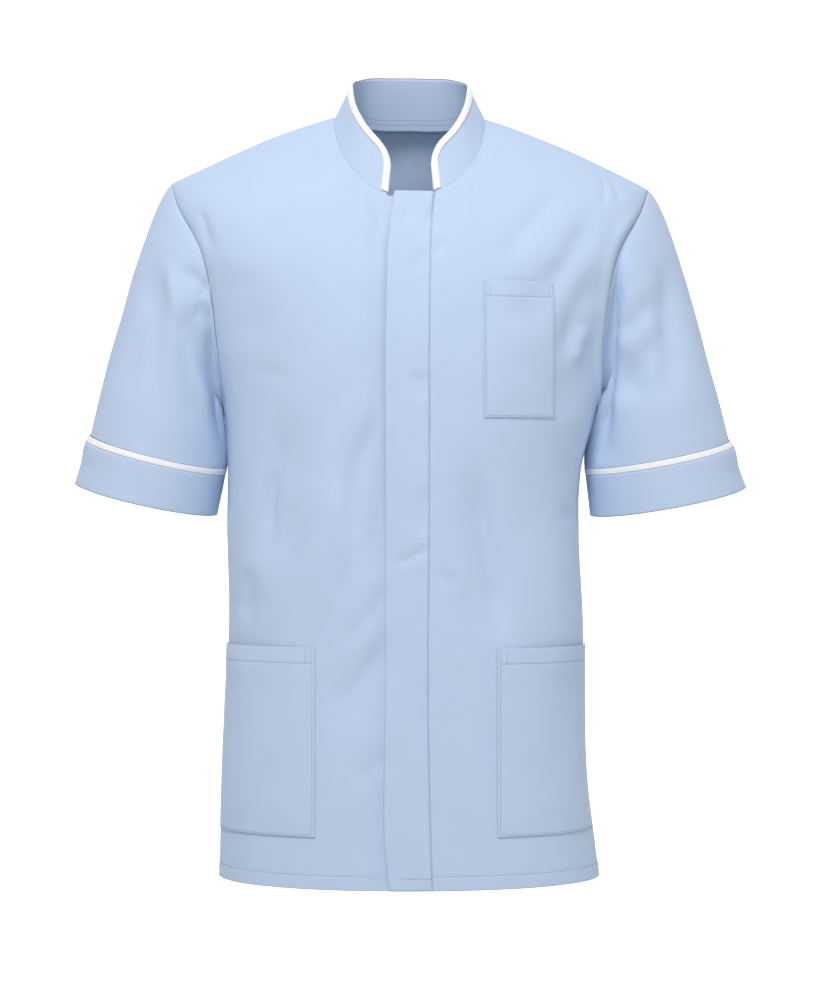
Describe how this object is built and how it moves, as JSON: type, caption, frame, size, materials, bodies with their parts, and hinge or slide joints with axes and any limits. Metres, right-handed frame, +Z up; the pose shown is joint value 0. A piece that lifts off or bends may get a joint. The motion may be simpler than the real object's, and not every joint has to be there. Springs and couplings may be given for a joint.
{
  "type": "medical tunic",
  "caption": "Short-sleeved medical tunic in its worn, hollow form, with a stand collar, a concealed front placket and patch pockets.",
  "frame": {"origin": "middle of the neck, level with the points where the shoulder seams reach the collar; the wearer's neck holds it here", "axes": "+Z up, the front faces -Y, +X is the wearer's left"},
  "size_m": [0.6723, 0.2688, 0.8061],
  "materials": {
    "cloth": "matt pale blue polyester and cotton twill",
    "trim": "matt white twill trim"
  },
  "bodies": {
    "root": {"front_left": "cloth", "front_right": "cloth", "placket": "cloth", "back": "cloth", "sleeve_left": "cloth", "sleeve_right": "cloth", "cuff_left": "cloth", "cuff_right": "cloth", "collar": "cloth", "pocket_chest": "cloth", "pocket_left": "cloth", "pocket_right": "cloth", "cuff_trim_left": "trim", "cuff_trim_right": "trim", "collar_trim": "trim"}
  },
  "joints": []
}
